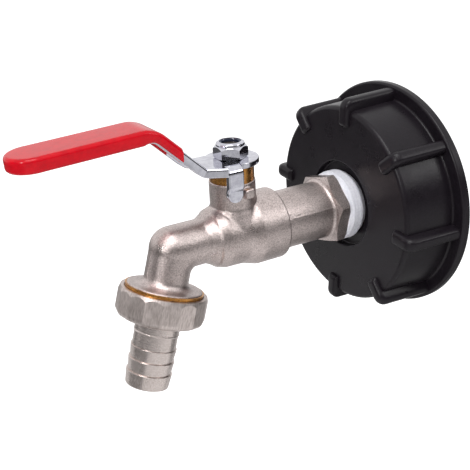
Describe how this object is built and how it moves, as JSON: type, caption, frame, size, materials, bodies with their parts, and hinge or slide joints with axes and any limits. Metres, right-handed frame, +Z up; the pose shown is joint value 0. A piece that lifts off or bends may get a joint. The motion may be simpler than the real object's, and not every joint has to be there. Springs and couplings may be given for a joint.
{
  "type": "container valve",
  "caption": "Nickel plated brass ball valve with a red lever and barbed hose tail, on a ribbed black screw cap for a liquid container's outlet.",
  "frame": {"origin": "centre of the cap's open mouth, on the axis of the tank thread", "axes": "+X out of the cap's mouth towards the tank, +Z up along the valve's stem, so the lever reaches back along -X"},
  "size_m": [0.14, 0.0826, 0.0887],
  "materials": {
    "cap_plastic": "satin moulded polypropylene",
    "seal_rubber": "matte moulded rubber",
    "plated_brass": "satin nickel plate over forged brass",
    "bare_brass": "turned brass",
    "polished_steel": "bright plate",
    "seat_plastic": "white moulded plastic",
    "tape": "wound thread tape",
    "sleeve_vinyl": "glossy dipped vinyl"
  },
  "bodies": {
    "valve": {"tank_cap": "cap_plastic", "cap_gasket": "seal_rubber", "inlet_connector": "plated_brass", "ptfe_tape": "tape", "connector_o_ring": "seal_rubber", "valve_body": "plated_brass", "inlet_seat": "seat_plastic", "outlet_seat": "seat_plastic"},
    "handle": {"lever_arm": "polished_steel", "lever_sleeve": "sleeve_vinyl", "lever_nut": "polished_steel", "nut_locking_ring": "seat_plastic", "stem": "bare_brass", "stem_thrust_washer": "seat_plastic", "stem_o_ring_lower": "seal_rubber", "stem_o_ring_upper": "seal_rubber"},
    "ball": {"ball": "polished_steel"},
    "tail": {"hose_tail": "plated_brass", "outlet_gasket": "seal_rubber"},
    "union": {"union_nut": "plated_brass"}
  },
  "joints": [
    {"name": "lever_turn", "type": "hinge", "parent": "valve", "child": "handle", "pos_m": [-0.0672, 0, 0], "axis": [0, 0, 1], "range_deg": [-90, 0]},
    {"name": "ball_turn", "type": "hinge", "parent": "valve", "child": "ball", "pos_m": [-0.0672, 0, 0], "axis": [0, 0, 1], "range_deg": [-90, 0]},
    {"name": "tail_slide", "type": "slide", "parent": "valve", "child": "tail", "axis": [-0.3149, -0.0698, -0.9466], "range_m": [0, 0.0045]},
    {"name": "union_turn", "type": "hinge", "parent": "tail", "child": "union", "pos_m": [-0.0908, 0, 0], "axis": [-0.3149, -0.0698, -0.9466], "range_deg": [0, 890]}
  ],
  "couplings": [
    {"joint": "ball_turn", "follows": "lever_turn", "ratio": 1}
  ]
}
